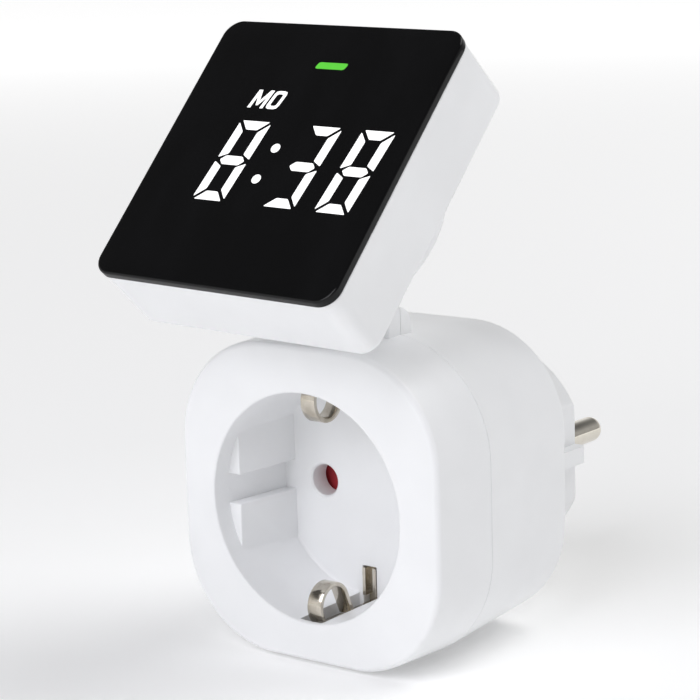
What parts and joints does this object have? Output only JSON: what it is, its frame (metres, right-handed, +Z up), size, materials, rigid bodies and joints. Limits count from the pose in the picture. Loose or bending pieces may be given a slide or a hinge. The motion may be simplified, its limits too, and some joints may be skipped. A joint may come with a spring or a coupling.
{
  "type": "plug-in power meter",
  "caption": "Square plug-through socket adapter with a recessed earthed socket, a two-pin plug behind, and a tilting, turning black display panel on a hinge on top.",
  "frame": {"origin": "centre of the plug boss's end face, between the two plug pins", "axes": "+Y towards the wall along the plug pins, +X to the right of a person facing the socket, +Z up"},
  "size_m": [0.056, 0.0986, 0.1076],
  "materials": {
    "white_plastic": "satin moulded, fine spark texture",
    "button_plastic": "satin moulded",
    "panel_black": "polished tinted window",
    "white_light": "lit diffuser",
    "green_light": "lit diffuser",
    "nickel": "nickel plated strip",
    "pin_metal": "nickel plated turned brass",
    "steel": "zinc plated",
    "brass": "stamped",
    "resistance_alloy": "rolled strip",
    "red_plastic": "moulded",
    "cream_plastic": "moulded",
    "dark_plastic": "moulded",
    "circuit_board": "solder mask",
    "yellow_box": "potted box",
    "blue_sleeve": "sleeve",
    "lead_rubber": "insulated wire"
  },
  "bodies": {
    "housing": {"front_shell": "white_plastic", "rear_shell": "white_plastic", "housing_screws": "steel", "shutter_spring": "steel", "contact_carrier": "cream_plastic", "line_contact": "brass", "neutral_contact": "brass", "earth_bridge": "nickel", "plug_earth_strap": "nickel", "line_pin": "pin_metal", "neutral_pin": "pin_metal", "pin_carrier": "cream_plastic", "power_board": "circuit_board", "dropper_capacitor": "yellow_box", "smoothing_capacitor": "blue_sleeve", "varistor": "blue_sleeve", "shunt": "resistance_alloy", "metering_chip": "dark_plastic", "board_header": "cream_plastic", "base_leads": "lead_rubber", "hinge_pin": "steel", "hinge_washers": "steel"},
    "arm": {"swivel_arm": "white_plastic", "swivel_ring": "dark_plastic", "swivel_screws": "steel", "friction_washer": "dark_plastic", "arm_leads": "lead_rubber"},
    "head": {"head_case": "white_plastic", "front_panel": "panel_black", "light_mask": "dark_plastic", "digit_lights": "white_light", "weekday_lights": "white_light", "indicator_bar": "green_light", "digit_module": "cream_plastic", "weekday_module": "cream_plastic", "indicator_led": "cream_plastic", "display_board": "circuit_board", "head_header": "cream_plastic", "backup_cell": "steel", "tact_switches": "dark_plastic", "head_screws": "steel"},
    "shutter": {"shutter": "red_plastic"},
    "earth_clip_upper": {"earth_clip_upper": "nickel"},
    "earth_clip_lower": {"earth_clip_lower": "nickel"},
    "button_left": {"button_left": "button_plastic"},
    "button_middle": {"button_middle": "button_plastic"},
    "button_right": {"button_right": "button_plastic"}
  },
  "joints": [
    {"name": "display_tilt", "type": "hinge", "parent": "housing", "child": "arm", "pos_m": [0, -0.043, 0.0295], "axis": [-1, 0, 0], "range_deg": [-4, 48]},
    {"name": "display_swivel", "type": "hinge", "parent": "arm", "child": "head", "pos_m": [0, -0.06154, 0.06029], "axis": [0, -0.7373, 0.6756], "range_deg": [-90, 90]},
    {"name": "shutter_turn", "type": "hinge", "parent": "housing", "child": "shutter", "pos_m": [0, -0.03405, 0], "axis": [0, 1, 0], "range_deg": [0, 48], "stiffness_Nm_per_rad": 0.003, "springref_deg": -17.19},
    {"name": "earth_clip_upper_flex", "type": "hinge", "parent": "housing", "child": "earth_clip_upper", "pos_m": [0, -0.041, 0.02145], "axis": [-1, 0, 0], "range_deg": [0, 5], "stiffness_Nm_per_rad": 0.3, "springref_deg": -1.15},
    {"name": "earth_clip_lower_flex", "type": "hinge", "parent": "housing", "child": "earth_clip_lower", "pos_m": [0, -0.041, -0.02145], "axis": [1, 0, 0], "range_deg": [0, 5], "stiffness_Nm_per_rad": 0.3, "springref_deg": -1.15},
    {"name": "button_left_press", "type": "slide", "parent": "head", "child": "button_left", "axis": [-0.0332, -0.6752, -0.7369], "range_m": [0, 0.0005], "stiffness_N_per_m": 300, "springref_m": -0.0005},
    {"name": "button_middle_press", "type": "slide", "parent": "head", "child": "button_middle", "axis": [-0.0332, -0.6752, -0.7369], "range_m": [0, 0.0005], "stiffness_N_per_m": 300, "springref_m": -0.0005},
    {"name": "button_right_press", "type": "slide", "parent": "head", "child": "button_right", "axis": [-0.0332, -0.6752, -0.7369], "range_m": [0, 0.0005], "stiffness_N_per_m": 300, "springref_m": -0.0005}
  ]
}
